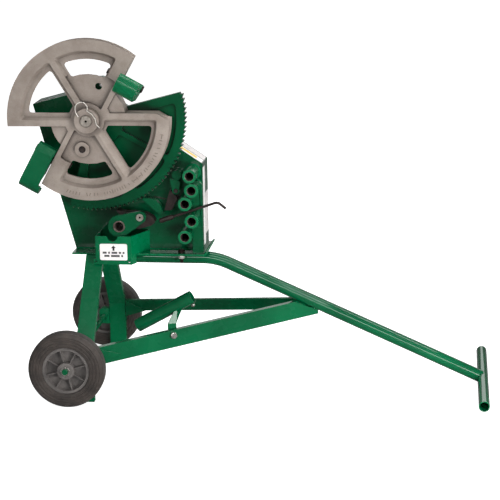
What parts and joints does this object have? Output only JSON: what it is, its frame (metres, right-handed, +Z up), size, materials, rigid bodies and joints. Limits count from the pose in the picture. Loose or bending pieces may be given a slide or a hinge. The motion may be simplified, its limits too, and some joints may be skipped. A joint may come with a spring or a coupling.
{
  "type": "conduit bender",
  "caption": "Wheeled mechanical conduit bender: a ratchet-driven bending shoe with hooks on an upright head, on splayed legs with a long tongue and T handle.",
  "frame": {"origin": "on the floor, under the middle of the whole machine's bounding box", "axes": "+X runs from the wheels to the T handle, the bending side faces -Y, +Z is up"},
  "size_m": [1.6021, 0.754, 1.1803],
  "materials": {
    "green_paint": "glossy green enamel on steel",
    "cast_aluminium": "rough as-cast, warm grey",
    "dark_steel": "black oxide, satin",
    "zinc_steel": "bright zinc plate",
    "tyre_rubber": "matt solid rubber",
    "hub_plastic": "grey moulded nylon"
  },
  "bodies": {
    "frame": {"arm_bearing": "green_paint", "axle": "green_paint", "axle_bracket_front": "green_paint", "axle_bracket_rear": "green_paint", "axle_washer_front": "zinc_steel", "axle_washer_rear": "zinc_steel", "bar_front": "green_paint", "bar_gusset_front": "green_paint", "bar_gusset_rear": "green_paint", "bar_rear": "green_paint", "base_bolt": "zinc_steel", "base_plate": "green_paint", "bearing_tube": "dark_steel", "cotter_front": "zinc_steel", "cotter_rear": "zinc_steel", "head_back_plate": "green_paint", "head_front_plate": "green_paint", "head_shell": "green_paint", "hold_pin": "green_paint", "holder_bolt": "zinc_steel", "holder_bracket": "green_paint", "holder_screw": "zinc_steel", "holder_tube": "green_paint", "leg_front": "green_paint", "leg_rear": "green_paint", "lever_bolt": "dark_steel", "pawl_spring": "dark_steel", "pawl_stop": "dark_steel", "pin_bar": "green_paint", "pin_tube_1": "green_paint", "pin_tube_2": "green_paint", "pin_tube_3": "green_paint", "pin_tube_4": "green_paint", "pin_tube_5": "green_paint", "roller_support": "green_paint", "t_handle": "green_paint", "tongue": "green_paint"},
    "bend_head": {"sector_gear": "green_paint", "bending_shoe": "cast_aluminium", "main_shaft": "zinc_steel", "shaft_clip": "zinc_steel", "drive_bolt": "dark_steel", "hook_upper_pin": "dark_steel", "hook_lower_pin": "dark_steel"},
    "upper_hook": {"hook_upper": "green_paint"},
    "lower_hook": {"hook_lower": "green_paint"},
    "arm": {"drive_arm": "green_paint", "arm_hub": "zinc_steel", "pawl_bolt": "zinc_steel"},
    "pawl": {"drive_pawl": "dark_steel"},
    "holding_pawl": {"hold_pawl": "green_paint"},
    "rod": {"release_rod": "dark_steel"},
    "lever": {"lock_lever": "green_paint"},
    "wheel_front": {"tyre_front": "tyre_rubber", "wheel_hub_front": "hub_plastic"},
    "wheel_rear": {"tyre_rear": "tyre_rubber", "wheel_hub_rear": "hub_plastic"}
  },
  "joints": [
    {"name": "bend_head_turn", "type": "hinge", "parent": "frame", "child": "bend_head", "pos_m": [-0.52855, -0.06, 0.914], "axis": [0, 1, 0], "range_deg": [-22, 68]},
    {"name": "upper_hook_swing", "type": "hinge", "parent": "bend_head", "child": "upper_hook", "pos_m": [-0.44419, -0.085, 1.06618], "axis": [0.8746, 0, -0.4848], "range_deg": [-82, 0]},
    {"name": "lower_hook_swing", "type": "hinge", "parent": "bend_head", "child": "lower_hook", "pos_m": [-0.61291, -0.075, 0.76182], "axis": [-0.8746, 0, 0.4848], "range_deg": [0, 100]},
    {"name": "drive_arm_turn", "type": "hinge", "parent": "frame", "child": "arm", "pos_m": [-0.43795, -0.05, 0.5503], "axis": [0, 1, 0], "range_deg": [-11, 12]},
    {"name": "drive_pawl_turn", "type": "hinge", "parent": "arm", "child": "pawl", "pos_m": [-0.36655, -0.046, 0.5824], "axis": [0, 1, 0], "range_deg": [-8, 0], "stiffness_Nm_per_rad": 1.5, "springref_deg": 34.38},
    {"name": "release_rod_slide", "type": "slide", "parent": "frame", "child": "rod", "axis": [0.9465, 0, 0.3228], "range_m": [0, 0.008], "stiffness_N_per_m": 900, "springref_m": -0.006},
    {"name": "hold_pawl_turn", "type": "hinge", "parent": "frame", "child": "holding_pawl", "pos_m": [-0.32305, -0.03, 0.612], "axis": [0, 1, 0], "range_deg": [-12, 0]},
    {"name": "lock_lever_turn", "type": "hinge", "parent": "frame", "child": "lever", "pos_m": [-0.24995, -0.04, 0.6648], "axis": [0, 1, 0], "range_deg": [-6, 6]},
    {"name": "front_wheel_spin", "type": "hinge", "parent": "frame", "child": "wheel_front", "pos_m": [-0.57755, -0.3384, 0.127], "axis": [0, 1, 0], "continuous": true},
    {"name": "rear_wheel_spin", "type": "hinge", "parent": "frame", "child": "wheel_rear", "pos_m": [-0.57755, 0.3384, 0.127], "axis": [0, 1, 0], "continuous": true}
  ],
  "couplings": [
    {"joint": "hold_pawl_turn", "follows": "release_rod_slide", "rad_per_m": -26}
  ]
}
